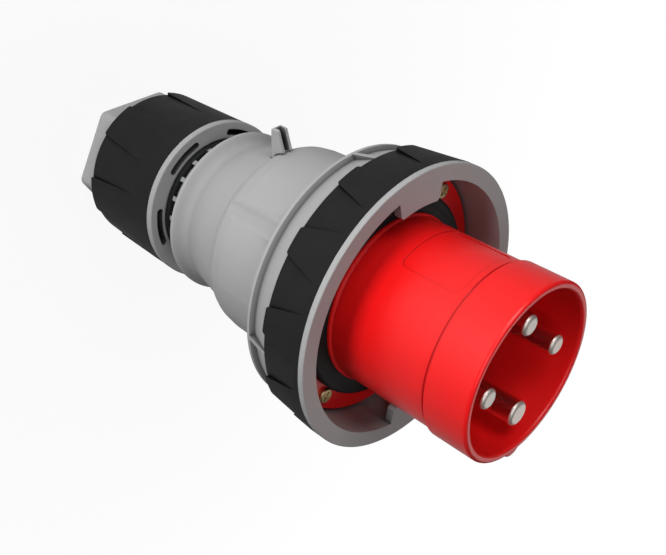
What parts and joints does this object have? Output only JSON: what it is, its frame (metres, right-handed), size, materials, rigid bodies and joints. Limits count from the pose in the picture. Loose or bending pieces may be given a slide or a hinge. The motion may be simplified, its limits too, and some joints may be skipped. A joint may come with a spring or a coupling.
{
  "type": "industrial pin and sleeve plug",
  "caption": "Cable-end industrial plug with a red sleeve, round contact pins, a turning bayonet coupling ring, grey housings and a screwed cable gland.",
  "frame": {"origin": "centre of the gland nut's flat end face, which the plug stands on", "axes": "+Z along the plug's axis towards the mating face, -Y towards the housing latch and label place, +Y towards the polarising key and earth pin"},
  "size_m": [0.1176, 0.1176, 0.2306],
  "materials": {
    "red_shell": "satin moulded polyamide",
    "carrier": "moulded, dark",
    "pins": "nickel-plated brass",
    "steel": "zinc-plated",
    "brass": "turned brass",
    "gasket": "moulded rubber",
    "seal": "moulded rubber",
    "ring_grey": "satin moulded plastic",
    "light_grey": "satin moulded plastic",
    "black_grip": "soft grip"
  },
  "bodies": {
    "housing": {"rear_housing": "light_grey", "front_housing": "light_grey", "housing_seal": "seal", "sleeve": "red_shell", "contact_carrier": "carrier", "pin_l1": "pins", "pin_l2": "pins", "pin_l3": "pins", "pin_earth": "pins", "terminal_screws": "steel", "carrier_screws": "steel", "mating_gasket": "gasket", "flange_screws": "brass", "flange_seal": "seal", "latch_pin": "steel", "gland_seal": "seal", "cable_seal": "gasket"},
    "ring": {"coupling_ring": "ring_grey", "ring_grip": "black_grip"},
    "latch": {"housing_latch": "light_grey"},
    "gland_thrust": {"thrust_ring": "light_grey", "clamp_cage": "carrier"},
    "gland": {"gland_nut": "light_grey", "nut_grip": "black_grip"}
  },
  "joints": [
    {"name": "ring_turn", "type": "hinge", "parent": "housing", "child": "ring", "pos_m": [0, 0, 0.16], "axis": [0, 0, 1], "range_deg": [-35, 35]},
    {"name": "latch_tip", "type": "hinge", "parent": "housing", "child": "latch", "pos_m": [0, -0.0349, 0.1024], "axis": [1, 0, 0], "range_deg": [0, 10], "stiffness_Nm_per_rad": 0.05, "springref_deg": -2.86},
    {"name": "gland_travel", "type": "slide", "parent": "housing", "child": "gland_thrust", "axis": [0, 0, 1], "range_m": [0, 0.006], "deforming": ["cable_seal"]},
    {"name": "gland_turn", "type": "hinge", "parent": "gland_thrust", "child": "gland", "pos_m": [0, 0, 0.03], "axis": [0, 0, 1], "range_deg": [0, 720]}
  ],
  "couplings": [
    {"joint": "gland_turn", "follows": "gland_travel", "rad_per_m": 2094.4}
  ]
}
